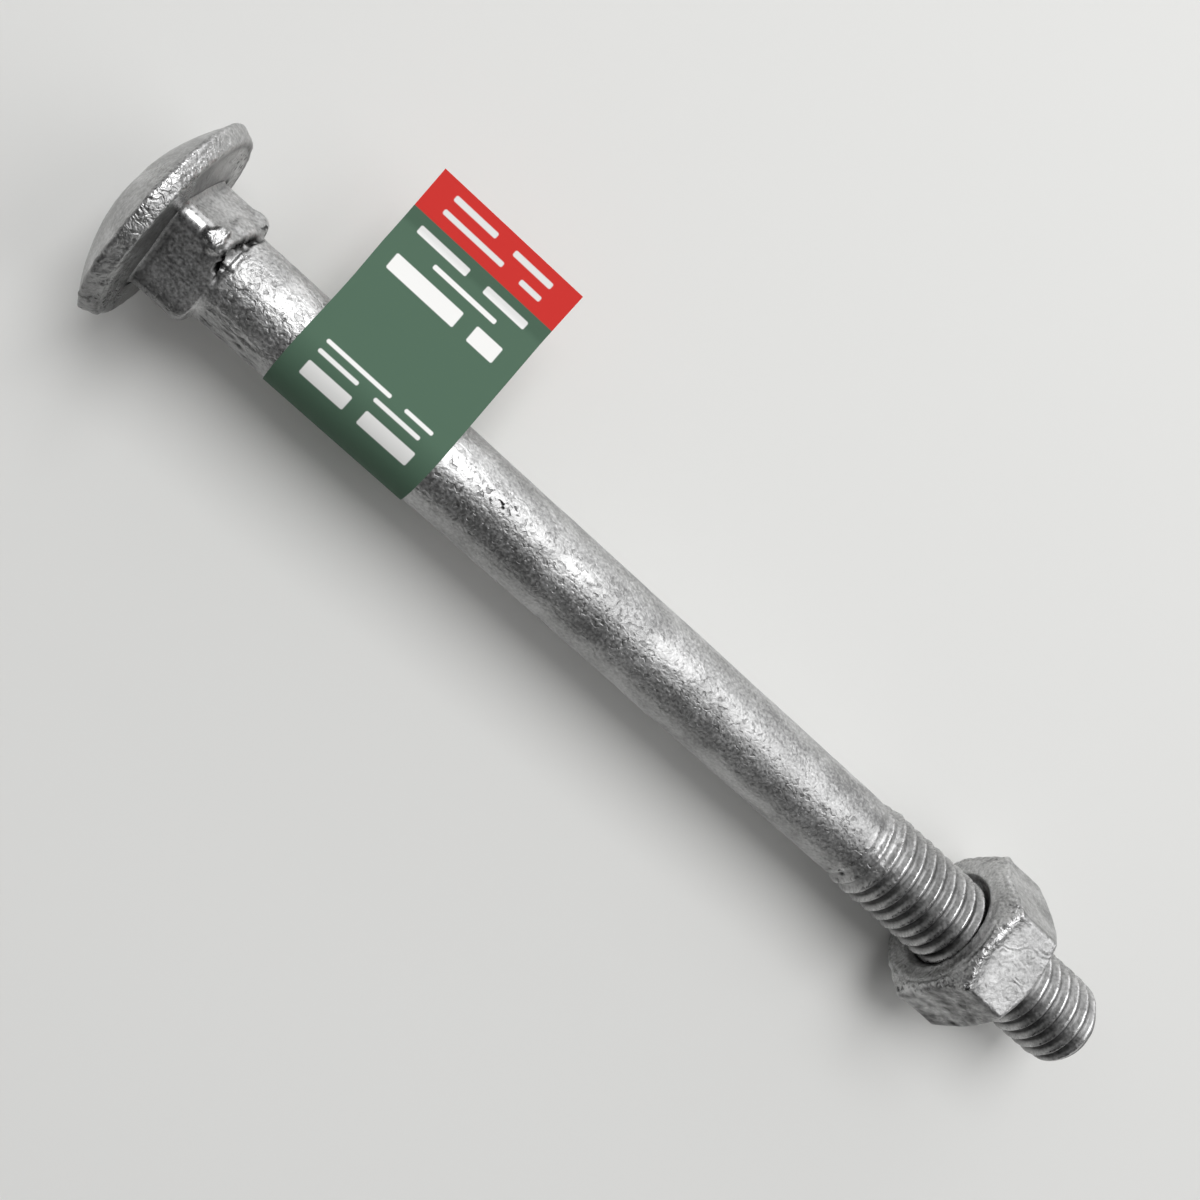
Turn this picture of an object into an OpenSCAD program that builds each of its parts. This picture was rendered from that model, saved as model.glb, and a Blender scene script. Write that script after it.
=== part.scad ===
// Cup head carriage bolt with a hexagon nut and a folded flag label round its shank.
// The axis of the bolt lies along X. The origin is at the centre of the head's bearing face,
// +X runs to the threaded tip and +Z is up, with one flat of the nut underneath.

/* [Head] */
// Diameter of the domed head, over its rim
head_d = 21.16; // [18:0.02:24]
// Height of the dome over the bearing face
head_h = 4.87; // [4:0.01:6.5]
// Height of the rim, from the bearing face to the edge of the crown
rim_h = 1.47; // [1:0.01:2]
// Radius of the rim's two edges
rim_edge_r = 0.45; // [0.2:0.01:0.6]
// Height by which the rim's upper edge stands over the edge of the crown
rim_bead = 0.08; // [0.02:0.01:0.2]
// Width by which the rim draws in towards the bearing face
rim_taper = 0.43; // [0.2:0.01:0.8]

/* [Square neck] */
// Width across the flats of the neck
neck_w = 9.3; // [9.2:0.05:10.4]
// Length of the neck under the head
neck_len = 5.4; // [4:0.1:8]
// Radius of the neck's four long corners
neck_corner_r = 1.2; // [0.4:0.1:2]
// Length of the taper that ends the neck's corners
neck_taper = 0.9; // [0.3:0.1:2]
// Turn of one corner of the neck from straight up
neck_turn = 10.6; // [0:0.1:45]

/* [Shank and thread] */
// Length under the head
bolt_len = 120; // [80:1:150]
// Diameter of the plain shank
shank_d = 9.1; // [8.6:0.05:9.15]
// Diameter over the crests of the thread
thread_d = 9.88; // [9.4:0.02:9.98]
// Length of the thread
thread_len = 32; // [26:1:45]
// Length of the slope between the shank and the thread
runout_len = 1.6; // [0.5:0.1:3]
// Radius of the rounded tip
tip_r = 2.2; // [0.8:0.1:2.6]

/* [Nut] */
// Wall of the nut, from the thread's crests to the middle of a flat
nut_wall = 3.06; // [2.6:0.02:4]
// Thickness of the nut
nut_t = 7.75; // [6:0.05:10]
// Length of thread that stands out beyond the nut
tail_len = 12.15; // [4:0.05:16]
// Gap between the thread's crests and the bore of the nut
nut_clear = 0.06; // [0.02:0.01:0.1]
// Width by which the flat end faces stay inside the nut's flats
face_inset = 0.7; // [0.1:0.05:0.9]
// Slope of the chamfer on the nut's six corners
chamfer_deg = 30; // [20:1:35]
// Depth of the countersink at each end of the bore
sink_depth = 0.9; // [0.3:0.1:1.4]
// Width of the countersink on the radius
sink_w = 0.65; // [0.3:0.05:1]

/* [Label] */
// Distance from the head's bearing face to the label
label_at = 13.55; // [9:0.05:30]
// Width of the label along the bolt
label_w = 16; // [8:0.5:25]
// Reach of the flag from the bolt's axis
label_reach = 20.1; // [19:0.1:30]
// Distance from the axis at which the two plies meet
label_join = 14.4; // [8:0.1:18]
// Thickness of one ply
ply_t = 0.15; // [0.1:0.01:0.3]
// Gap between the label's loop and the shank
label_clear = 0.02; // [0.01:0.01:0.1]
// Turn of the flag from straight up
label_turn = 81; // [60:1:90]

/* [Hidden] */
$fn = 96;
eps = 0.01;
zinc_grey = [0.62, 0.63, 0.64];
nut_grey = [0.66, 0.67, 0.68];
label_green = [0.32, 0.43, 0.36];

head_r = head_d / 2;
shank_r = shank_d / 2;
thread_r = thread_d / 2;
// Centres of the rounds on the rim's upper and lower edges
lip_at = head_r - rim_edge_r;
lip_h = rim_h + rim_bead - rim_edge_r;
foot_at = lip_at - rim_taper;
// Outward direction across the rim's straight side
side_len = norm([rim_taper, lip_h - rim_edge_r]);
side_out = [(lip_h - rim_edge_r) / side_len, rim_taper / side_len];
// The crown is one arc about the axis, from its top to the rim's upper edge
crown_rise = head_h - rim_h;
crown_r = (lip_at * lip_at + crown_rise * crown_rise) / (2 * crown_rise);
crown_mid = crown_r - head_h;
// Distance from the axis to the rounded corner of the neck
neck_reach = (neck_w / 2 - neck_corner_r) * sqrt(2) + neck_corner_r;
thread_at = bolt_len - thread_len;
nut_at = bolt_len - tail_len - nut_t;
bore_r = thread_r + nut_clear;
nut_flat_r = thread_r + nut_wall;
nut_corner_r = nut_flat_r / cos(30);
nut_face_r = nut_flat_r - face_inset;
chamfer_h = (nut_corner_r - nut_face_r) * tan(chamfer_deg);
loop_in = shank_r + label_clear;
loop_out = loop_in + ply_t;

// Stands what is drawn upwards along the bolt's axis instead, so that X, Y and Z of the
// drawing become Y, Z and X of the part
module along_bolt(at = 0) {
    translate([at, 0, 0])
        rotate([90, 0, 90])
            children();
}

// Half section of the head: an arc for the crown, a rim that draws in and a flat underside
module head_section() {
    intersection() {
        translate([0, crown_mid])
            circle(r = crown_r);
        translate([0, -head_h])
            square([lip_at, head_h - lip_h + eps]);
    }
    translate([lip_at, -lip_h])
        circle(r = rim_edge_r);
    translate([foot_at, -rim_edge_r])
        circle(r = rim_edge_r);
    polygon([
        [0, -lip_h],
        [lip_at, -lip_h],
        [lip_at, -lip_h] + rim_edge_r * side_out,
        [foot_at, -rim_edge_r] + rim_edge_r * side_out,
        [foot_at, 0],
        [0, 0]
    ]);
}

// Square with rounded corners, one of them pointing up
module neck_section() {
    core = neck_w / 2 - neck_corner_r;
    rotate(45 - neck_turn) {
        square([neck_w, 2 * core], center = true);
        square([2 * core, neck_w], center = true);
        for (y = [-core, core], z = [-core, core])
            translate([y, z])
                circle(r = neck_corner_r);
    }
}

// Square neck, with its corners tapered down to the shank
module neck() {
    intersection() {
        linear_extrude(neck_len)
            neck_section();
        union() {
            cylinder(h = neck_len - neck_taper, r = neck_reach + eps);
            translate([0, 0, neck_len - neck_taper])
                cylinder(h = neck_taper, r1 = neck_reach + eps, r2 = shank_r);
        }
    }
}

// Half section of the threaded end over the crests, with its rounded tip
module thread_section() {
    translate([0, thread_at])
        square([thread_r, thread_len - tip_r]);
    translate([0, thread_at])
        square([thread_r - tip_r, thread_len]);
    translate([thread_r - tip_r, bolt_len - tip_r])
        circle(r = tip_r);
}

// The bolt is one forging: head, square neck, plain shank and threaded end
module bolt() {
    color(zinc_grey)
        along_bolt() {
            rotate_extrude()
                head_section();
            neck();
            cylinder(h = thread_at, r = shank_r);
            translate([0, 0, thread_at - runout_len])
                cylinder(h = runout_len, r1 = shank_r, r2 = thread_r);
            rotate_extrude()
                thread_section();
        }
}

// Half section that turns the nut's corners down to a cone at both ends
module nut_limit() {
    polygon([
        [0, 0],
        [nut_face_r, 0],
        [nut_corner_r, chamfer_h],
        [nut_corner_r, nut_t - chamfer_h],
        [nut_face_r, nut_t],
        [0, nut_t]
    ]);
}

// Half section of the bore, with a countersink at each end
module bore_section() {
    polygon([
        [0, -eps],
        [bore_r + sink_w, -eps],
        [bore_r + sink_w, 0],
        [bore_r, sink_depth],
        [bore_r, nut_t - sink_depth],
        [bore_r + sink_w, nut_t],
        [bore_r + sink_w, nut_t + eps],
        [0, nut_t + eps]
    ]);
}

// Hexagon nut, a flat down, both ends chamfered
module nut() {
    color(nut_grey)
        along_bolt(nut_at)
            difference() {
                intersection() {
                    cylinder(h = nut_t, r = nut_corner_r, $fn = 6);
                    rotate_extrude()
                        nut_limit();
                }
                rotate_extrude()
                    bore_section();
            }
}

// A round of radius r, drawn out by its two tangents to a point at the given reach
module drop_section(r, reach) {
    lean = acos(r / reach);
    circle(r = r);
    polygon([
        [0, 0],
        [r * cos(lean), -r * sin(lean)],
        [reach, 0],
        [r * cos(lean), r * sin(lean)]
    ]);
}

// Section of the label: a strip looped round the shank, its two ends stuck face to face
module label_section() {
    difference() {
        union() {
            drop_section(loop_out, label_join * loop_out / loop_in);
            translate([0, -ply_t])
                square([label_reach, 2 * ply_t]);
        }
        drop_section(loop_in, label_join);
    }
}

// Flag label, in two plies beyond its loop
module flag_label() {
    color(label_green)
        along_bolt(label_at)
            linear_extrude(label_w)
                rotate(90 - label_turn)
                    label_section();
}

bolt();
nut();
flag_label();
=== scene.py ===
"""Looks of a galvanised carriage bolt, its hexagon nut and the folded label round its shank."""

import logging
from abc import ABC, abstractmethod
from collections.abc import Callable
from dataclasses import dataclass, field
from enum import Enum
from functools import partial
from itertools import product
from math import ceil, cos, floor, pi, radians, sin, tan

import bmesh
import bpy
import numpy as np
from mathutils import Matrix, Vector


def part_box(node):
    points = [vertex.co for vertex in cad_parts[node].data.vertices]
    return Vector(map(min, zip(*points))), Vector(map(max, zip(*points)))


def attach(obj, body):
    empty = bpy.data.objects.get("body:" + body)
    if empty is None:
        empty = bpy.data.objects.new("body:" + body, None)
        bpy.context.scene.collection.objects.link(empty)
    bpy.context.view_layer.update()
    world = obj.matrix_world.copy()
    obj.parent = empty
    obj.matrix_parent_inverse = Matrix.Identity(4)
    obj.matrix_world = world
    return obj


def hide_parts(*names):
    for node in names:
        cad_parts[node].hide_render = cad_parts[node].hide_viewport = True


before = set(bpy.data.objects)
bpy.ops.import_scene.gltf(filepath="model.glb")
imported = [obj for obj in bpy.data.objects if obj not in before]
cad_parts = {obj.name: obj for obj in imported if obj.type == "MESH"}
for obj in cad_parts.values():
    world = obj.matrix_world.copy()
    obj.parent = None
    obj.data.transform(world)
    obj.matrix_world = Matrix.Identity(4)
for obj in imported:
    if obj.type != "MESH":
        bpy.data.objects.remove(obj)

log = logging.getLogger("carriage_bolt")

Array = np.ndarray
AddNode = Callable[..., bpy.types.NodeSocket]

# Lengths in this file are in millimetres, and Blender's unit is the metre
MM = 0.001
# The photograph's frame, in pixels
PHOTO_PX = 1200
# How far the skin stays inside the CAD node's box, and a length too small to matter
INSET = 0.002
TINY = 1e-12
# Points closer than this many metres are merged
MERGE_M = 1e-7
# Radius of the plain shank
SHANK_R = 4.55
# Fields of the zinc coat that a piece carries and its material reads
COAT_FIELDS = ("crust", "crevice", "pores", "tooth", "gloss")


class Body(Enum):
    """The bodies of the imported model."""

    BOLT = "bolt"
    NUT = "nut"


class Slot(Enum):
    """The record's material slots."""

    STEEL = "galvanised_steel"
    NUT = "galvanised_nut"
    PAPER = "label_paper"


def smooth_step(value: Array, start: float, end: float) -> Array:
    """Rises from 0 at start to 1 at end, as t squared times (3 - 2t)."""
    t = np.clip((value - start) / (end - start), 0.0, 1.0)
    return t * t * (3.0 - 2.0 * t)


def hill(value: Array, centre: float, half: float, power: float = 2.0) -> Array:
    """Gives a hill of height 1, exp(-|(value - centre) / half|^power), flat-topped for a high power."""
    return np.exp(-np.abs((value - centre) / half) ** power)


def soft_max(a: Array, b: Array, softness: float) -> Array:
    """Gives the larger of a and b, with the corner rounded: (a + b + sqrt((a - b)^2 + s^2)) / 2."""
    return (a + b + np.sqrt((a - b) ** 2 + softness**2)) / 2.0


def soft_min(a: Array, b: Array, softness: float) -> Array:
    """Gives the smaller of a and b, with the corner rounded."""
    return -soft_max(-a, -b, softness)


def turn_between(psi: Array, centre: float) -> Array:
    """Gives the turn from centre to psi in degrees, from -180 to 180."""
    return (psi - centre + 180.0) % 360.0 - 180.0


def side(psi: Array, centre: float, half: float, power: float = 2.0) -> Array:
    """Gives a hill about the turn centre, so 1 on that side of the bolt."""
    return hill(turn_between(psi, centre), 0.0, half, power)


def stacked(*parts: Array | float) -> Array:
    """Brings the parts to one shape and puts them beside each other in a last axis."""
    return np.stack(np.broadcast_arrays(*parts), axis=-1)


def cloud(points: Array, cell: float | tuple[float, float, float], seed: int, octaves: int = 2) -> Array:
    """Gives a smooth random field, the sum of octaves of gradient noise.

    In each octave a lattice corner's random slope g gives g . d, where d runs from the corner to
    the point in cells. The eight values round a point are blended with the weight
    f(t) = t^3 (6 t^2 - 15 t + 10) along each axis. Each octave has half the cell and half the height.

    Args:
        points: Points in mm, with x, y and z in the last axis.
        cell: Size of a lattice cell in mm, one number or one for each axis.
        seed: Seed of the random slopes.
        octaves: How many layers are added up.

    Returns:
        The field at each point, about -1 to 1.
    """
    lattice, shift, height = 32, 7.3, 1.6
    slopes = np.random.default_rng(seed).normal(size=(lattice, lattice, lattice, 3))
    slopes /= np.linalg.norm(slopes, axis=-1, keepdims=True)
    total = np.zeros(points.shape[:-1])
    for octave in range(octaves):
        q = points / np.asarray(cell) * 2.0**octave + shift * octave
        base = np.floor(q).astype(int)
        d = q - base
        w = d**3 * (d * (6.0 * d - 15.0) + 10.0)
        for corner in product((0, 1), repeat=3):
            c = np.array(corner)
            i = (base + c) % lattice
            slope = slopes[i[..., 0], i[..., 1], i[..., 2]]
            weight = np.prod(np.where(c == 1, w, 1.0 - w), axis=-1)
            total += weight * np.sum(slope * (d - c), axis=-1) * height / 2.0**octave
    return total


def rounded_polygon(psi: Array, sides: int, apothem: float, corner_r: float, corner_at: float) -> Array:
    """Gives the radius of a regular polygon with rounded corners.

    With e the turn from the nearest flat, the flat lies at apothem / cos(e). Beyond the end of the
    flat the ray meets the corner's round, whose centre is D from the axis, at
    D cos(f) + sqrt(corner_r^2 - D^2 sin(f)^2), where f is the turn from the corner.

    Args:
        psi: Turns about the axis in degrees.
        sides: Number of flats.
        apothem: Distance from the axis to a flat.
        corner_r: Radius of the rounded corners.
        corner_at: Turn of one corner.

    Returns:
        The radius at each turn.
    """
    half = 180.0 / sides
    from_corner = np.radians(np.abs((psi - corner_at + half) % (2 * half) - half))
    from_flat = radians(half) - from_corner
    centre = (apothem - corner_r) / cos(radians(half))
    flat_end = np.arctan((apothem - corner_r) * tan(radians(half)) / apothem)
    inner = np.maximum(corner_r**2 - (centre * np.sin(from_corner)) ** 2, 0.0)
    corner = centre * np.cos(from_corner) + np.sqrt(inner)
    return np.where(from_flat <= flat_end, apothem / np.cos(from_flat), corner)


def turned(x: Array, r: Array, psi: Array) -> Array:
    """Puts a profile about the bolt's axis: (x, r sin psi, r cos psi), with psi in degrees."""
    return stacked(x, r * np.sin(np.radians(psi)), r * np.cos(np.radians(psi)))


def grid_normals(points: Array, closed_rows: bool = False) -> Array:
    """Gives the unit normals of a grid whose columns close round the axis.

    The normal is the cross product of the step to the next row and the step to the next column.

    Args:
        points: Grid of rows by columns by 3.
        closed_rows: Whether the last row is joined to the first.

    Returns:
        Unit normals, in the shape of points.
    """
    if closed_rows:
        along = np.roll(points, -1, axis=0) - np.roll(points, 1, axis=0)
    else:
        along = np.gradient(points, axis=0)
    normal = np.cross(along, np.roll(points, -1, axis=1) - np.roll(points, 1, axis=1))
    return normal / np.maximum(np.linalg.norm(normal, axis=-1, keepdims=True), TINY)


def grid_quads(rows: int, columns: int, closed_rows: bool = False, meets: Array | None = None) -> Array:
    """Gives the four-sided faces of a grid whose columns close round the axis.

    Args:
        rows: Number of rows.
        columns: Number of columns.
        closed_rows: Whether the last row is joined to the first.
        meets: For each row, the row that it meets past the last column. By default its own.

    Returns:
        Vertex numbers, four for each face, turned so that the faces point outwards.
    """
    i, j = (part.ravel() for part in np.indices((rows if closed_rows else rows - 1, columns)))
    below, right = (i + 1) % rows, (j + 1) % columns
    meets = np.arange(rows) if meets is None else meets
    beside, past = (np.where(right == 0, meets[row], row) for row in (i, below))
    return stacked(i * columns + j, below * columns + j, past * columns + right, beside * columns + right)


def add_object(name: str, data: bpy.types.ID) -> bpy.types.Object:
    """Makes an object and links it to the scene.

    Args:
        name: Name of the object.
        data: Its mesh, lamp or camera.

    Returns:
        The new object.
    """
    made = bpy.data.objects.new(name, data)
    bpy.context.scene.collection.objects.link(made)
    return made


def looking(place: Vector, right: Vector, up: Vector, back: Vector) -> Matrix:
    """Gives the matrix of a lamp or camera that stands at the place and looks away from back."""
    return Matrix.LocRotScale(place, Matrix((right, up, back)).transposed().to_quaternion(), None)


@dataclass
class Surface:
    """A closed mesh in mm, with the fields that its material reads."""

    points: Array
    quads: Array
    triangles: Array = field(default_factory=lambda: np.zeros((0, 3), int))
    # Numbers or vectors for the points
    fields: dict[str, Array] = field(default_factory=dict)
    sharp_from: float | None = None
    # Whether points that share a place are merged
    merged: bool = False

    def to_object(self, name: str) -> bpy.types.Object:
        """Makes the Blender object, at the origin and with its place in its mesh.

        Args:
            name: Name of the object and of its mesh.

        Returns:
            The new object.
        """
        mesh = bpy.data.meshes.new(name)
        mesh.from_pydata((self.points * MM).tolist(), [], self.quads.tolist() + self.triangles.tolist())
        mesh.polygons.foreach_set("use_smooth", np.ones(len(mesh.polygons), bool))
        if self.sharp_from is not None:
            mesh.set_sharp_from_angle(angle=radians(self.sharp_from))
        for key, values in self.fields.items():
            kind, entry = ("FLOAT", "value") if values.ndim == 1 else ("FLOAT_VECTOR", "vector")
            data = mesh.attributes.new(key, kind, "POINT").data
            data.foreach_set(entry, values.astype(np.float32).ravel())
        if self.merged:
            shell = bmesh.new()
            shell.from_mesh(mesh)
            bmesh.ops.remove_doubles(shell, verts=shell.verts, dist=MERGE_M)
            shell.to_mesh(mesh)
            shell.free()
        mesh.update()
        return add_object(name, mesh)


def linear(code: str) -> tuple[float, float, float, float]:
    """Turns an sRGB hex colour to Blender's linear one.

    Args:
        code: The colour, such as #8c9094.

    Returns:
        Linear red, green and blue, with alpha 1.
    """
    share = [int(code[k : k + 2], 16) / 255.0 for k in (1, 3, 5)]
    r, g, b = (s / 12.92 if s <= 0.04045 else ((s + 0.055) / 1.055) ** 2.4 for s in share)
    return r, g, b, 1.0


def add_node(
    tree: bpy.types.NodeTree,
    kind: str,
    inputs: dict[str | int, object] | None = None,
    out: str | int = 0,
    **settings: object,
) -> bpy.types.NodeSocket | None:
    """Adds a node with its settings and links, and gives one of its outputs.

    Args:
        tree: Tree that takes the node.
        kind: Blender's name of the node's type.
        inputs: Sockets by name or number, each with a value or with the socket to link it to.
        out: Name or number of the output to give.
        settings: Values of the node's own properties.

    Returns:
        The output, or None for a node without one.
    """
    node = tree.nodes.new(kind)
    for key, value in settings.items():
        setattr(node, key, value)
    for key, value in (inputs or {}).items():
        if isinstance(value, bpy.types.NodeSocket):
            tree.links.new(value, node.inputs[key])
        else:
            node.inputs[key].default_value = value
    return node.outputs[out] if len(node.outputs) else None


@dataclass(frozen=True)
class Finish(ABC):
    """How a surface is made and what that gives the eye."""

    name: str

    @abstractmethod
    def look(self, add: AddNode) -> dict[str, object]:
        """Adds the finish's own nodes and gives what the shader takes from them."""

    def material(self) -> bpy.types.Material:
        """Builds the material round the finish's look.

        Returns:
            The new material.
        """
        material = bpy.data.materials.new(self.name)
        material.use_nodes = True
        material.node_tree.nodes.clear()
        add = partial(add_node, material.node_tree)
        shader = add("ShaderNodeBsdfPrincipled", self.look(add))
        add("ShaderNodeOutputMaterial", {"Surface": shader})
        return material


@dataclass(frozen=True)
class HotDipZinc(Finish):
    """Hot-dip galvanised steel.

    The molten zinc freezes to a matt coat with a fine grain, soft lumps and curled ripples where
    it ran together, so the gloss is broad and broken. It gathers on edges, which sparkle, and
    keeps dark flux in its pores. Its crevices, grooves, the head's underside and the low sides are
    painted darker towards the flux colour, as painted shade.
    """

    # Colours of the zinc, from its fresh crystals to its darker ones, and of the flux, which is
    # also the colour of the painted shade
    bright: str = "#d4d4d4"
    darker_tone: str = "#989898"
    flux: str = "#1d1d1d"
    # Size of the patches of one tone, how much the pits speckle them, and the levels between which
    # the tone goes from dull to bright
    patch_mm: float = 2.2
    speckle: float = 0.8
    tone_levels: tuple[float, float] = (0.68, 1.12)
    # Grain of the coat, drawn out along the bolt, and its height from pit to peak
    grain_mm: float = 0.3
    grain_stretch: float = 1.5
    grain_height_mm: float = 0.085
    # Fine pits of the coat, coarser than real ones so that they show
    pit_mm: float = 0.15
    pit_height_mm: float = 0.022
    # Crust on edges and at the start of the thread
    crust_mm: float = 0.36
    crust_height_mm: float = 0.26
    # Pores with flux in them, and the levels between which a pore opens
    pore_mm: float = 0.24
    pore_depth_mm: float = 0.08
    pore_levels: tuple[float, float] = (0.61, 0.72)
    # Ripples: their spacing is how often the field under them passes a level
    ripple_mm: float = 1.1
    ripple_level: float = 0.1
    ripple_height_mm: float = 0.0
    # The gloss follows the pits, and the melted skin on edges and drops is smoother
    gloss_rough: float = 0.42
    dull_rough: float = 0.58
    gloss_levels: tuple[float, float] = (0.3, 0.7)
    melted_smooth: float = 0.2
    noise_rough: float = 0.6

    def look(self, add: AddNode) -> dict[str, object]:
        """Builds the zinc from its relief, its tone and its gloss.

        Args:
            add: Adds a node to the material.

        Returns:
            The shader's inputs. They read the piece's own coat fields.
        """
        place = add("ShaderNodeTexCoord", out="Object")
        crust, crevice, pores, tooth, gloss = (
            add("ShaderNodeAttribute", out="Fac", attribute_name=key) for key in COAT_FIELDS
        )
        stretch = {"Vector": place, "Scale": (1.0 / self.grain_stretch, 1.0, 1.0)}
        drawn = add("ShaderNodeMapping", stretch, vector_type="POINT")
        # Each layer of noise: where it is read, the size of its blobs, its detail and its twist
        layers = (
            {"Vector": at, "Scale": 0.5 / (size * MM), "Detail": detail, "Distortion": twist}
            for at, size, detail, twist in (
                (drawn, self.grain_mm, 2.0, 0.5),
                (place, self.pit_mm, 1.0, 0.0),
                (place, self.crust_mm, 2.0, 1.0),
                (drawn, self.patch_mm, 4.0, 0.8),
                (place, self.pore_mm, 0.0, 0.6),
                (place, self.ripple_mm, 0.5, 0.3),
            )
        )
        grain, pits, lumps, patches, holes, pools = (
            add("ShaderNodeTexNoise", {**layer, "Roughness": self.noise_rough}, "Fac") for layer in layers
        )
        low, high = self.pore_levels
        hole = add("ShaderNodeMapRange", {"Value": holes, "From Min": low, "From Max": high})
        flux = add("ShaderNodeMath", {0: hole, 1: pores}, operation="MULTIPLY")
        rippled = add("ShaderNodeMath", {0: pools, 1: self.ripple_level}, operation="PINGPONG")
        pitted = add("ShaderNodeMath", {0: pits, 1: self.pit_height_mm * MM}, operation="MULTIPLY")
        fine = {0: grain, 1: self.grain_height_mm * MM, 2: pitted}
        fine = add("ShaderNodeMath", fine, operation="MULTIPLY_ADD")
        height = add("ShaderNodeMath", {0: fine, 1: tooth}, operation="MULTIPLY")
        crusted = add("ShaderNodeMath", {0: lumps, 1: crust}, operation="MULTIPLY")
        for layer, share in (
            (crusted, self.crust_height_mm),
            (flux, -self.pore_depth_mm),
            (rippled, self.ripple_height_mm / self.ripple_level),
        ):
            height = add("ShaderNodeMath", {0: layer, 1: share * MM, 2: height}, operation="MULTIPLY_ADD")
        low, high = self.tone_levels
        mottled = add("ShaderNodeMath", {0: pits, 1: self.speckle, 2: patches}, operation="MULTIPLY_ADD")
        tone = add("ShaderNodeMapRange", {"Value": mottled, "From Min": low, "From Max": high})
        # The pores' flux and the painted shade both pull the colour towards the flux colour
        dark = add("ShaderNodeMath", {0: flux, 1: crevice}, operation="MAXIMUM")
        colour: object = linear(self.darker_tone)
        for share, over in ((tone, self.bright), (dark, self.flux)):
            colour = add("ShaderNodeMix", {0: share, 6: colour, 7: linear(over)}, 2, data_type="RGBA")
        low, high = self.gloss_levels
        ends = {"To Min": self.gloss_rough, "To Max": self.dull_rough}
        rough = add("ShaderNodeMapRange", {"Value": pits, "From Min": low, "From Max": high, **ends})
        rough = add("ShaderNodeMath", {0: gloss, 1: -self.melted_smooth, 2: rough}, operation="MULTIPLY_ADD")
        bump = add("ShaderNodeBump", {"Height": height, "Distance": 1.0, "Strength": 1.0})
        return {"Base Color": colour, "Metallic": 1.0, "Roughness": rough, "Normal": bump}


@dataclass(frozen=True)
class PrintedBar:
    """A printed bar with round corners: its middle and half size in mm on the strip."""

    along: float
    across: float
    half_along: float
    half_across: float


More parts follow.
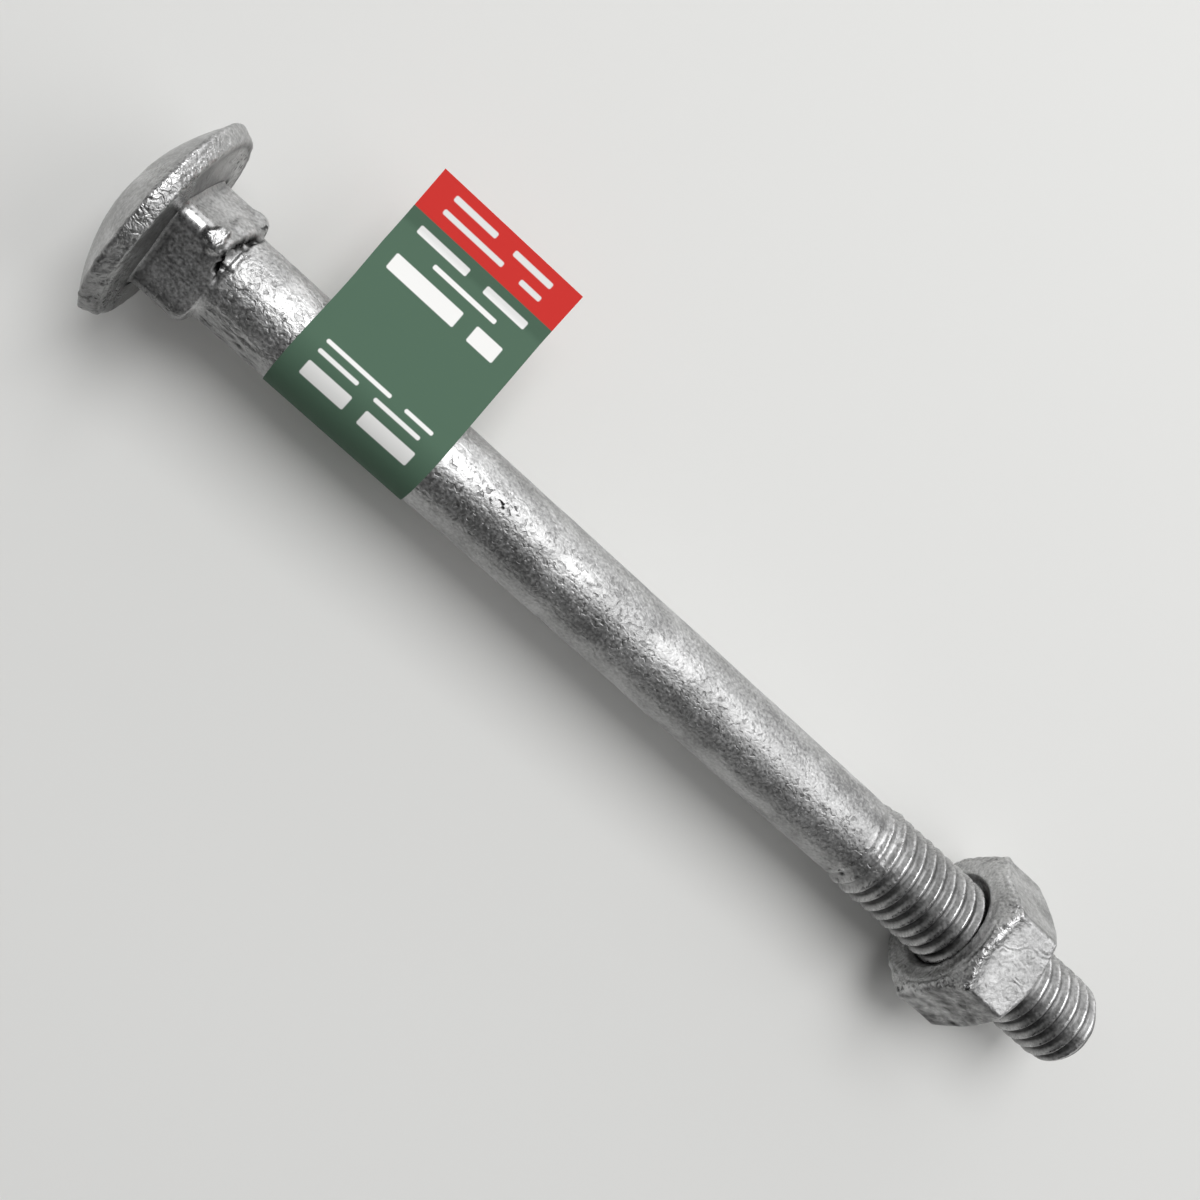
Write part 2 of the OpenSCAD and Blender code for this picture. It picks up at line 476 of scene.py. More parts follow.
@dataclass(frozen=True)
class PrintedPaper(Finish):
    """Uncoated label paper, printed on one side.

    The ink lies in flat fields, the fibres give a faint tooth, and the cut edges show the bare
    paper.
    """

    bars: tuple[PrintedBar, ...]
    # Length of the strip and of the band at each of its ends
    strip_mm: float
    band_mm: float = 4.2
    green: str = "#526d5b"
    red: str = "#dc3833"
    white: str = "#f4f4f2"
    bare: str = "#cfd2cc"
    # Round of the bars' corners and softness of the ink's edge
    corner_mm: float = 0.18
    bleed_mm: float = 0.05
    fibre_mm: float = 0.12
    fibre_height_mm: float = 0.003
    rough: float = 0.8
    specular: float = 0.2
    # The strip field's side is 1 where the paper is printed, and less on the cut edges
    printed_from: float = 0.97

    def look(self, add: AddNode) -> dict[str, object]:
        """Builds the paper from its printed fields and its tooth.

        Args:
            add: Adds a node to the material.

        Returns:
            The shader's inputs. They read the strip field: mm along, mm across and the side.
        """
        strip = add("ShaderNodeAttribute", out="Vector", attribute_name="strip")
        parts = add("ShaderNodeSeparateXYZ", {"Vector": strip}).node.outputs
        group = self.bar_group()
        ink: object = 0.0
        for bar in self.bars:
            middle, half = (bar.along, bar.across, 0.0), (bar.half_along, bar.half_across, 10.0)
            spot = add("ShaderNodeGroup", {"Strip": strip, "Middle": middle, "Half": half}, node_tree=group)
            ink = add("ShaderNodeMath", {0: ink, 1: spot}, operation="MAXIMUM")
        band: object = 0.0
        for edge, low, high in ((self.band_mm, 1.0, 0.0), (self.strip_mm - self.band_mm, 0.0, 1.0)):
            reach = {"From Min": edge - self.bleed_mm, "From Max": edge + self.bleed_mm}
            end = add("ShaderNodeMapRange", {"Value": parts["X"], **reach, "To Min": low, "To Max": high})
            band = add("ShaderNodeMath", {0: band, 1: end}, operation="ADD")
        printed = add("ShaderNodeMath", {0: parts["Z"], 1: self.printed_from}, operation="GREATER_THAN")
        colour: object = linear(self.green)
        for share, over in ((band, self.red), (ink, self.white)):
            colour = add("ShaderNodeMix", {0: share, 6: colour, 7: linear(over)}, 2, data_type="RGBA")
        paper = add("ShaderNodeMix", {0: printed, 6: linear(self.bare), 7: colour}, 2, data_type="RGBA")
        place = add("ShaderNodeTexCoord", out="Object")
        fibre = {"Vector": place, "Scale": 0.5 / (self.fibre_mm * MM), "Detail": 4.0, "Distortion": 0.4}
        fibre = add("ShaderNodeTexNoise", fibre, "Fac")
        relief = {"Height": fibre, "Distance": self.fibre_height_mm * MM, "Strength": 1.0}
        bump = add("ShaderNodeBump", relief)
        shine = {"Roughness": self.rough, "Specular IOR Level": self.specular}
        return {"Base Color": paper, "Normal": bump, **shine}

    def bar_group(self) -> bpy.types.NodeTree:
        """Makes the group that draws a bar: ink where |max(|p - middle| - half + corner, 0)| < corner.

        Returns:
            The group, with inputs Strip, Middle and Half and output Ink.
        """
        group = bpy.data.node_groups.new("printed_bar", "ShaderNodeTree")
        for name in ("Strip", "Middle", "Half"):
            group.interface.new_socket(name, in_out="INPUT", socket_type="NodeSocketVector")
        group.interface.new_socket("Ink", in_out="OUTPUT", socket_type="NodeSocketFloat")
        add = partial(add_node, group)
        given = add("NodeGroupInput").node.outputs
        way: object = given["Strip"]
        for step, other in (
            ("MULTIPLY", (1.0, 1.0, 0.0)),
            ("SUBTRACT", given["Middle"]),
            ("ABSOLUTE", None),
            ("SUBTRACT", given["Half"]),
            ("ADD", (self.corner_mm,) * 3),
            ("MAXIMUM", (0.0,) * 3),
        ):
            taken = {0: way} if other is None else {0: way, 1: other}
            way = add("ShaderNodeVectorMath", taken, operation=step)
        gap = add("ShaderNodeVectorMath", {0: way}, "Value", operation="LENGTH")
        reach = {"From Min": self.corner_mm - self.bleed_mm, "From Max": self.corner_mm + self.bleed_mm}
        ink = add("ShaderNodeMapRange", {"Value": gap, **reach, "To Min": 1.0, "To Max": 0.0})
        add("NodeGroupOutput", {"Ink": ink})
        return group


@dataclass(frozen=True)
class StudioPaper(Finish):
    """A matt paper sweep, which gives a pale floor with no gloss."""

    name: str = "studio_paper"
    tone: str = "#e4e4e2"
    rough: float = 0.9

    def look(self, add: AddNode) -> dict[str, object]:
        """Gives the plain paper's colour and roughness."""
        return {"Base Color": linear(self.tone), "Roughness": self.rough}


@dataclass(frozen=True)
class Thread:
    """A right-handed thread, softened by its coat of zinc."""

    pitch: float = 1.5
    # Radius over the crests and depth of the grooves between them
    crest_r: float = 4.94
    depth: float = 0.62
    crest_half: float = 0.16
    flank_deg: float = 30.0
    # A crest passes this place along the axis at this turn
    crest_x: float = 0.1
    crest_psi: float = -6.7
    crest_soft: float = 0.3
    root_soft: float = 0.2

    def drop(self, x: Array, psi: Array) -> Array:
        """Gives how far the surface lies below the crests.

        The turns to a place are n = (x - crest_x) / pitch + (psi - crest_psi) / 360, so the nearest
        crest is |n - round(n)| pitch away. Past half a crest's width the flank falls at
        1 / tan(flank), down to the depth, with both corners rounded.

        Args:
            x: Places along the axis.
            psi: Turns about the axis in degrees.

        Returns:
            The drop at each place.
        """
        turns = (x - self.crest_x) / self.pitch + (psi - self.crest_psi) / 360.0
        away = np.abs(turns - np.round(turns)) * self.pitch
        flank = (away - self.crest_half) / tan(radians(self.flank_deg))
        raised = soft_max(flank, np.zeros_like(flank), self.crest_soft)
        return soft_min(raised, np.full_like(raised, self.depth), self.root_soft)


@dataclass
class Coat:
    """What the zinc adds at each point: its height in mm, and shares from 0 to 1."""

    lift: Array
    # Lumps that sparkle, painted shade in crevices, grooves, under the head and on the low sides,
    # pores with flux, the strength of the fine grain, and how far the skin is melted smooth
    crust: Array
    crevice: Array
    pores: Array
    tooth: Array
    gloss: Array

    def plus(self, other: "Coat") -> "Coat":
        """Adds another zone's coat."""
        return Coat(*(a + b for a, b in zip(vars(self).values(), vars(other).values())))

    def fields(self, more: int = 0) -> dict[str, Array]:
        """Gives the shares for the mesh, with zeros for more points at the end."""
        shares = {key: np.clip(getattr(self, key), 0.0, 1.0).ravel() for key in COAT_FIELDS}
        return {key: np.concatenate((share, np.zeros(more))) for key, share in shares.items()}


@dataclass(kw_only=True)
class Piece(ABC):
    """A visible piece that stands for one CAD node and rides on that node's body."""

    name: str
    node: str
    body: Body
    slot: Slot
    finish: Finish

    @abstractmethod
    def surface(self) -> Surface:
        """Works out the piece's mesh."""

    def build(self) -> bpy.types.Object:
        """Makes the piece, dresses it and puts it in its node's place.

        Returns:
            The new object.
        """
        piece = self.surface().to_object(self.name)
        piece.data.materials.append(self.finish.material())
        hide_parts(self.node)
        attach(piece, self.body.value)
        piece.data.calc_loop_triangles()
        triangles = len(piece.data.loop_triangles)
        log.info("%s: %d triangles, for %s on %s", self.name, triangles, self.node, self.body.value)
        return piece


@dataclass(kw_only=True)
class TurnedPiece(Piece):
    """A threaded piece whose profile is carried round the bolt's axis in columns."""

    thread: Thread
    columns: int

    @property
    def psi(self) -> Array:
        """Turns of the columns in degrees."""
        return np.arange(self.columns) * 360.0 / self.columns


@dataclass(kw_only=True)
class BoltForging(TurnedPiece):
    """The bolt: domed head, square neck, plain shank and threaded end in one skin."""

    name: str = "bolt_forging"
    node: str = "bolt"
    body: Body = Body.BOLT
    slot: Slot = Slot.STEEL
    head_r: float
    head_h: float
    length: float
    # Band round the head: where the crown meets it, its rounded edges, the bead that it stands
    # above the crown, and how far it tapers to the underside
    rim_h: float = 1.72
    rim_edge_r: float = 0.45
    rim_bead: float = 0.08
    rim_taper: float = 0.43
    # Flats, corners and turn of the square neck
    neck_half: float = 4.65
    neck_corner_r: float = 1.2
    neck_turn: float = 10.6
    # Round between the head's underside and the neck, and how much more zinc fills the seen side
    root_r: float = 0.3
    root_fill: float = 0.4
    # Start of the shoulder that ends the neck, and where it meets the shank
    shoulder_at: float = 4.1
    shoulder_end: float = 5.6
    # Start of the slope up to the thread, of the grooves, and their first full turn
    slope_at: float = 86.0
    thread_at: float = 88.0
    groove_at: float = 84.5
    groove_full: float = 88.6
    tip_r: float = 2.2
    # Start of the helical rows, and their places past a crest
    helix_at: float = 84.9
    crest_steps: tuple[float, ...] = (0.0, 0.06, 0.12, 0.2, 0.32, 0.5, 0.75, 1.0, 1.18, 1.3, 1.38, 1.44)
    crown_rows: int = 36
    shank_rows: int = 94
    columns: int = 190

    @classmethod
    def from_frame(cls, thread: Thread, finish: Finish) -> "BoltForging":
        """Takes the head's size and the length from the CAD node's box."""
        low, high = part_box("bolt")
        return cls(finish=finish, thread=thread, head_r=high.z / MM, head_h=-low.x / MM, length=high.x / MM)

    @property
    def lip_at(self) -> float:
        """Distance from the axis to the middle of the rim's upper round."""
        return self.head_r - self.rim_edge_r

    @property
    def lip_h(self) -> float:
        """Height of the middle of the rim's upper round over the underside."""
        return self.rim_h + self.rim_bead - self.rim_edge_r

    def surface(self) -> Surface:
        """Carries the profile round the axis and closes it at the crown's top and the tip's middle.

        Returns:
            The skin, with the fields of its coat.
        """
        shank_x = np.linspace(7.0, self.helix_at - 0.2, self.shank_rows)[:, None]
        parts = (
            self.head_profile(),
            self.neck_profile(),
            stacked(shank_x, self.stem_radius(shank_x)),
            self.thread_profile(),
            self.tip_profile(),
        )
        head, neck, shank, thread, count = np.cumsum([len(part) for part in parts])
        profile = np.concatenate(parts)
        x = profile[..., 0]
        base = turned(x, profile[..., 1], self.psi)
        coat = self.head_coat(base, profile, head).plus(self.neck_coat(base, x)).plus(self.stem_coat(base, x))
        # The helical rows fold up at their ends, so the lift there and on the shank is radial
        out = turned(np.zeros_like(x), 1.0, self.psi)
        for rows in (slice(0, neck), slice(thread, count)):
            out[rows] = grid_normals(base[rows])
        points = self.kept_inside(base + out * coat.lift[..., None])
        meets = np.arange(count)
        meets[shank:thread] = np.maximum(meets[shank:thread] - len(self.crest_steps), shank)
        ends = [[points[0, :, 0].mean() - INSET, 0.0, 0.0], [self.length - INSET, 0.0, 0.0]]
        ring = np.arange(self.columns)
        following, last, apex = (ring + 1) % self.columns, (count - 1) * self.columns, count * self.columns
        fans = (stacked(apex, ring, following), stacked(last + ring, apex + 1, last + following))
        return Surface(
            points=np.concatenate((points.reshape(-1, 3), ends)),
            quads=grid_quads(count, self.columns, meets=meets),
            triangles=np.concatenate(fans),
            fields=coat.fields(more=2),
            merged=True,
        )

    def head_profile(self) -> Array:
        """Gives the crown, the rim's band and the underside as x and r.

        The crown is an arc about the axis, x = m - R cos a and r = R sin a, up to where it meets
        the band's upper round. Both rounds are x = -h - q cos b and r = c + q sin b, about the
        lip's middle and the foot's, and the straight side is their common tangent. The underside
        is flat.

        Returns:
            Rows by columns by 2.
        """
        q = self.rim_edge_r
        rise = self.head_h - self.rim_h
        crown_r = (self.lip_at**2 + rise**2) / (2.0 * rise)
        middle = crown_r - self.head_h
        reach = np.hypot(middle + self.lip_h, self.lip_at)
        back = np.arccos((crown_r**2 + reach**2 - q**2) / (2.0 * crown_r * reach))
        meet = np.arctan2(self.lip_at, middle + self.lip_h) - back
        a = meet * (1.0 - (1.0 - np.linspace(0.0, 1.0, self.crown_rows + 1)[1:]) ** 2)
        crown = stacked(middle - crown_r * np.cos(a), crown_r * np.sin(a))
        off = crown[-1] - (-self.lip_h, self.lip_at)
        first = np.arctan2(off[1], -off[0])
        tangent = pi / 2.0 + np.arctan2(self.rim_taper, self.lip_h - q)
        foot_at = self.lip_at - self.rim_taper
        lip, foot = (
            stacked(-h - q * np.cos(b), c + q * np.sin(b))
            for b, h, c in (
                (np.linspace(first, tangent, 15)[1:], self.lip_h, self.lip_at),
                (np.linspace(tangent, pi, 8), q, foot_at),
            )
        )
        share = np.linspace(0.0, 1.0, 7)[1:-1, None]
        line = np.concatenate((crown, lip, lip[-1] + (foot[0] - lip[-1]) * share, foot))
        rows = np.broadcast_to(line[:, None, :], (len(line), self.columns, 2))
        root = self.neck_section + self.root_round
        flat_r = foot_at + (root - foot_at) * np.linspace(0.0, 1.0, 13)[1:, None]
        return np.concatenate((rows, stacked(0.0, flat_r)))

    @property
    def root_round(self) -> Array:
        """Radius of the round at the neck's root, for each column."""
        return self.root_r + self.root_fill * side(self.psi, 0.0, 84.0, 6.0)

    @property
    def neck_section(self) -> Array:
        """Radius of the neck's rounded square, for each column."""
        return rounded_polygon(self.psi, 4, self.neck_half, self.neck_corner_r, self.neck_turn)

    def neck_profile(self) -> Array:
        """Gives the round at the neck's root, the neck and its blunt shoulders as x and r.

        The radius is the smaller of the section's and of a quarter ellipse that falls from the
        neck's corners to the shank between the shoulder's two places.

        Returns:
            Rows by columns by 2.
        """
        section, q = self.neck_section, self.root_round
        a = np.radians(np.linspace(0.0, 90.0, 8)[1:, None])
        root = stacked(q * (1.0 - np.cos(a)), section + q * (1.0 - np.sin(a)))
        x = np.concatenate((np.linspace(1.1, 2.3, 6), np.arange(2.4, 6.95, 0.1)))[:, None]
        reach = section.max() + 0.35
        t = np.clip((x - self.shoulder_at) / (self.shoulder_end - self.shoulder_at), 0.0, 1.0)
        limit = SHANK_R + (reach - SHANK_R) * np.sqrt(1.0 - t**2)
        # The flats stand little over the shank and run out into it without an edge
        proud, edge = section - SHANK_R, 0.25
        kept = proud - edge * (1.0 - np.exp(-proud / edge)) * smooth_step(x, 4.2, 6.0)
        r = np.maximum(soft_min(SHANK_R + kept, limit, 0.12), SHANK_R)
        return np.concatenate((root, stacked(x, r)))

    def thread_profile(self) -> Array:
        """Gives the thread up to the tip's round as x and r, in rows that follow the helix.

        A row lies at a fixed place past a crest, so x = h - pitch psi / 360. Past the two ends of
        the thread the rows are folded up on a ring. Past the last column a row meets the one a
        full turn back.

        Returns:
            Rows by columns by 2.
        """
        thread, end = self.thread, self.length - self.tip_r
        first = floor((self.helix_at - thread.crest_x) / thread.pitch - thread.crest_psi / 360.0)
        count = ceil((end - self.helix_at) / thread.pitch) + 3
        h = ((first + np.arange(count)[:, None]) * thread.pitch + np.array(self.crest_steps)).ravel()
        x = thread.crest_x + h[:, None] + thread.pitch * (thread.crest_psi - self.psi) / 360.0
        x = np.clip(x, self.helix_at, end)
        return stacked(x, self.stem_radius(x))

    def stem_radius(self, x: Array) -> Array:
        """Gives the radius of the shank and thread: the slope between them less the thread's drop.

        Args:
            x: Places along the axis.

        Returns:
            The radius at each place, in every column.
        """
        slope = np.clip((x - self.slope_at) / (self.thread_at - self.slope_at), 0.0, 1.0)
        crest = SHANK_R + (self.thread.crest_r - SHANK_R) * slope
        return crest - self.thread.drop(x, self.psi) * smooth_step(x, self.groove_at, self.groove_full)

    def tip_profile(self) -> Array:
        """Gives the rounded tip and its flat end as x and r.

        The round is x = c + q sin a and r = e + q cos a, and the thread's grooves are cut into it.

        Returns:
            Rows by columns by 2.
        """
        a = np.radians(np.linspace(2.0, 90.0, 22))[:, None]
        x = self.length - self.tip_r + self.tip_r * np.sin(a)
        round_r = self.thread.crest_r - self.tip_r + self.tip_r * np.cos(a)
        tip = stacked(x, soft_min(round_r, self.stem_radius(x), 0.15))
        flat_r = tip[-1:, :, 1] * np.linspace(1.0, 0.0, 7)[1:-1, None]
        return np.concatenate((tip, stacked(self.length, flat_r)))

    def head_coat(self, base: Array, profile: Array, rows: int) -> Coat:
        """Works out the zinc on the head: a smooth crown, a crusted rim and a rough outer underside.

        Each zone is a range of the run, the distance along the profile past the crown's edge.
        The rim's crust spreads onto the underside where the part hung when it was dipped.

        Args:
            base: Points of the bare form.
            profile: The same as x and r.
            rows: How many rows are the head's.

        Returns:
            The head's share of the coat, which is 0 on the rest.
        """
        run = np.cumsum(np.linalg.norm(np.diff(profile, axis=0, prepend=profile[:1]), axis=-1), axis=0)
        run = run - run[self.crown_rows - 1]
        on_head = (np.arange(len(run)) < rows).astype(float)[:, None]
        low_side, far_side = side(self.psi, -77.0, 48.0, 4.0), side(self.psi, 104.0, 50.0, 4.0)
        glint = side(self.psi, 8.0, 35.0, 4.0)
        ragged = 0.25 * cloud(base, 1.3, 18)
        band = on_head * smooth_step(run, -0.03, 0.1) * (1.0 - smooth_step(run, 2.3 + ragged, 2.8 + ragged))
        under = on_head * smooth_step(run, 2.5, 2.9)
        outer = under * smooth_step(profile[..., 1], 6.2, 7.6)
        # A painted shadow line along the band's foot on the far side
        foot = on_head * hill(run, 2.75, 0.3) * far_side
        past_root = profile[..., 1] - self.neck_section - self.root_round
        root = under * (1.0 - smooth_step(past_root, 0.0, 0.5))
        return Coat(
            lift=on_head * (0.03 * (cloud(base, 3.1, 11) - 1.0))
            + band * (0.06 + 0.07 * low_side) * (cloud(base, 1.1, 13) - 0.6)
            + under * (0.03 * cloud(base, 1.6, 14) + 0.2 * (1.0 - smooth_step(past_root, 0.0, 2.6)))
            + outer * far_side * 0.09 * cloud(base, 0.9, 19)
            + outer * low_side * (0.1 + 0.13 * cloud(base, 1.0, 20)),
            crust=on_head * 0.04 + band * (0.45 + 0.35 * glint) + outer * (0.6 * far_side + 0.7 * low_side),
            # Darkens the whole head faintly, and paints shade on the underside and at the neck's root, a
            # shadow line at the band's foot and shade on the rim's low side, which also gets more pores
            crevice=on_head * 0.07
            + 0.3 * root
            + under * (0.4 - 0.35 * outer * far_side - 0.1 * outer * low_side)
            + 0.65 * foot
            + 0.4 * band * low_side,
            pores=band * (0.12 + 0.6 * low_side) + 0.75 * outer * (far_side + low_side),
            tooth=on_head * (0.45 + 0.15 * under + 0.3 * band),
            gloss=on_head * 0.3 + band * 0.5 * glint,
        )

    def stem_coat(self, base: Array, x: Array) -> Coat:
        """Works out the zinc on the shank and the thread.

        The lift is a sum of clouds: lumps drawn out along the shank, coarser ones next to the
        neck, and a crust where the thread starts.

        Args:
            base: Points of the bare form.
            x: Places along the axis.

        Returns:
            The stem's share of the coat, which is 0 on the rest.
        """
        psi = self.psi
        stem, threaded = smooth_step(x, 5.6, 6.8), smooth_step(x, 87.6, 90.0)
        shank = stem * (1.0 - threaded)
        first, start = hill(x, 9.0, 4.5, 4.0), hill(x, 88.6, 1.9, 4.0)
        dark_side, low_side = side(psi, -52.0, 38.0, 4.0), side(psi, -84.0, 36.0, 4.0)
        patch = hill(x, 36.4, 1.6, 4.0) * side(psi, 6.0, 12.0, 4.0)
        specked = 0.12 + 0.24 * side(psi, -6.0, 36.0, 4.0)
        grooves = self.thread.drop(x, psi) / self.thread.depth
        # Dents between the lumps on the low side by the neck, and cracks in the crust where the thread
        # starts, both painted dark as shade
        streaks = stem * low_side * first * smooth_step(cloud(base, (1.2, 0.6, 0.6), 29), 0.05, 0.45)
        cracks = hill(x, 86.2, 1.2, 4.0) * dark_side * smooth_step(cloud(base, (0.6, 1.5, 1.5), 30), 0.3, 0.6)
        # The upper side of the tip is worn rounder
        worn = smooth_step(x, self.length - 2.4, self.length - 0.4) * side(psi, 75.0, 60.0)
        return Coat(
            lift=stem * 0.02 * (cloud(base, 3.1, 25) - 1.0)
            + shank * 0.02 * cloud(base, (3.2, 1.1, 1.1), 12, 3)
            + stem * first * (0.05 + 0.07 * low_side) * cloud(base, (1.5, 0.9, 0.9), 26)
            + start * 0.06 * cloud(base, (0.8, 1.2, 1.2), 15, 3)
            + threaded * 0.03 * cloud(base, 1.1, 16)
            - (0.1 * streaks + 0.12 * cracks + 0.35 * worn),
            crust=0.14 * shank
            + stem * first * (0.2 + 0.4 * low_side)
            + 0.2 * start
            + 0.05 * threaded
            + 0.2 * patch,
            # Painted shade: the thread's grooves, darker on the dark side, the shank's low side, the dents
            # and the cracks; the dark side also gets more pores
            crevice=threaded * (0.5 + 0.25 * dark_side) * smooth_step(grooves, 0.35, 0.9)
            + stem * low_side * (0.2 + 0.2 * first)
            + 0.5 * streaks
            + 0.85 * cracks,
            pores=dark_side * (0.2 * start + 0.08 * threaded) + 0.8 * patch + shank * specked,
            tooth=stem * (0.92 - 0.7 * smooth_step(x, 84.4, 86.6)),
            gloss=smooth_step(x, 84.6, 86.0) * (1.2 - smooth_step(grooves, 0.1, 0.4))
            + 0.3 * stem * (1.0 - smooth_step(x, 28.0, 60.0)),
        )

    def neck_coat(self, base: Array, x: Array) -> Coat:
        """Works out the zinc on the neck: flared corners, one drop, a shaded groove and a lip behind it.

        Args:
            base: Points of the bare form.
            x: Places along the axis.

        Returns:
            The neck's share of the coat, which is 0 on the rest.
        """
        neck = smooth_step(x, 0.02, 0.1) * (1.0 - smooth_step(x, 5.6, 6.8))
        psi = self.psi
        near = turn_between(psi, self.neck_turn)
        lift = np.zeros_like(x)
        # Corners that the zinc left proud: turn from the near one, height, half width, place
        flares = ((90.0, 0.25, 15.0, 4.4), (180.0, 0.18, 14.0, 4.3), (270.0, 0.06, 8.0, 4.5))
        for corner, height, half, at in flares:
            lift += height * hill(x, at, 0.8, 3.0) * side(near, corner, half)
        from_drop = np.hypot((x - 3.75) / 1.25, turn_between(near, -1.0) / 12.0) + 0.35 * cloud(base, 1.3, 27)
        drop = 1.0 - smooth_step(from_drop, 0.7, 1.0)
        # A sunk rim round the drop, painted dark as shade, most on its lower side
        outline = hill(from_drop, 1.06, 0.12) * (0.25 + 0.75 * smooth_step(-near, -2.0, 6.0))
        lift += drop * (0.22 + 0.2 * cloud(base, 1.0, 21))
        lift += 0.12 * hill(from_drop, 0.68, 0.16) - 0.04 * outline
        # A low oval lump of zinc on the upper flat
        from_lump = np.hypot((x - 4.3) / 1.15, turn_between(psi, 54.0) / 22.0) + 0.1 * cloud(base, 1.4, 28)
        lift += 0.2 * (1.0 - smooth_step(from_lump, 0.55, 1.05))
        corner = hill(near, 0.0, 9.0, 4.0) * (1.0 - smooth_step(x, 3.0, 3.4))
        # A seam that runs beside the near corner, from the head to the drop
        seam = hill(x, 1.6, 1.5, 6.0) * hill(near, 9.0, 3.0)
        # The groove behind the shoulder, painted dark in broken spots as shade, and the lip past it
        upper = side(psi, 26.0, 46.0, 6.0)
        ragged_x = x + 0.2 * cloud(base, 1.1, 22)
        groove_x = 5.3 + 0.35 * smooth_step(psi, 20.0, 60.0) - 0.45 * side(psi, -8.0, 8.0)
        groove = hill(ragged_x, groove_x, 0.32, 3.0) * upper
        lip = hill(ragged_x, 5.95, 0.3, 4.0) * side(psi, 11.0, 18.0, 4.0)
        end = hill(x, 5.0, 0.9, 4.0) * upper
        low_bead = hill(x, 4.6, 0.35) * side(psi, -70.0, 5.0)
        lift += 0.03 * seam - 0.5 * groove + 0.2 * lip + 0.04 * end * cloud(base, 0.9, 23) + 0.12 * low_bead
        # The neck's low corner is painted darker as shade and gets more pores
        low_edge = hill(x, 2.8, 2.9, 6.0) * side(psi, -80.0, 14.0, 4.0)
        # The fillet is painted dark as shade like the head's underside, with a painted shade line at its
        # end on the low flat
        root = 0.35 * (1.0 - smooth_step(x, 0.4, 0.65))
        root += 0.45 * hill(x, 0.72, 0.14) * side(psi, -38.0, 36.0, 6.0)
        far_specks = hill(x, 5.35, 0.5, 4.0) * side(psi, 92.0, 16.0, 4.0)
        broken = smooth_step(cloud(base, 1.0, 24) + 0.62, 0.0, 0.4)
        return Coat(
            lift=lift,
            crust=0.3 * drop + 0.25 * end + 0.2 * lip + 0.5 * far_specks + 0.06 * neck,
            # Painted shade: the groove, the rim round the drop, the fillet, the low corner and a ring round
            # the lump
            crevice=1.3 * groove * broken
            + 0.4 * outline
            + neck * root
            + 0.6 * low_edge
            + 0.2 * hill(from_lump, 1.0, 0.14),
            pores=0.2 * drop + 0.9 * far_specks + 0.5 * low_edge,
            tooth=neck * (0.25 - 0.2 * np.minimum(corner + drop, 1.0)),
            gloss=0.3 * neck + corner + 0.5 * drop + lip + 0.4 * seam,
        )

    def kept_inside(self, points: Array) -> Array:
        """Keeps the skin inside the CAD node's box: no point past the rim, the crown's top or the tip.

        Args:
            points: Points of the skin.

        Returns:
            The points, drawn in where they would stand out.
        """
        radius = np.hypot(points[..., 1], points[..., 2])
        scale = np.minimum(1.0, (self.head_r - INSET) / np.maximum(radius, TINY))
        x = np.clip(points[..., 0], INSET - self.head_h, self.length - INSET)
        return stacked(x, points[..., 1] * scale, points[..., 2] * scale)


